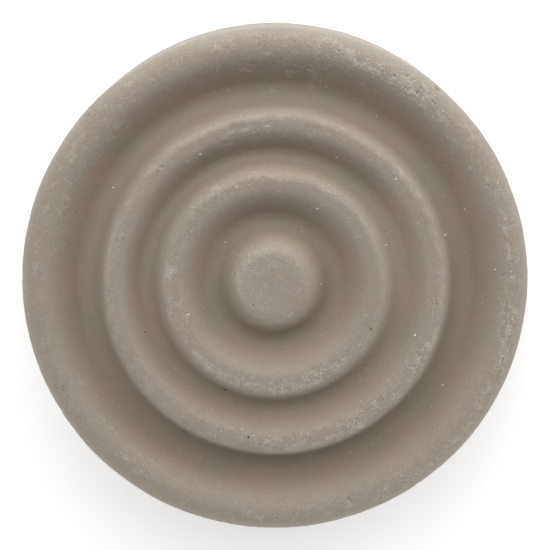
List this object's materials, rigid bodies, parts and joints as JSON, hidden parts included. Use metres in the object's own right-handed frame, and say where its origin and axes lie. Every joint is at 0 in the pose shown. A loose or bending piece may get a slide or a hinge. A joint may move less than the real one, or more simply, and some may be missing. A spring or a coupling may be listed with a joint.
{
  "type": "shaving soap puck",
  "caption": "Round puck of hard shaving soap with a raised rim, concentric ridges and a middle boss on its lathering face, and a flat back.",
  "frame": {"origin": "centre of the flat back, which is the lowest face", "axes": "+Z along the puck's axis, out of the ringed face; X and Y across the puck, which is the same all round"},
  "size_m": [0.072, 0.072, 0.026],
  "materials": {
    "soap": "matte taupe-grey hard soap, waxy in the grooves, with a dry pale bloom on the crests",
    "pale_mineral": "off-white mineral grain",
    "dark_mineral": "dark brown mineral grain"
  },
  "bodies": {
    "root": {"soap_body": "soap", "pale_grains": "pale_mineral", "dark_grains": "dark_mineral"}
  },
  "joints": []
}
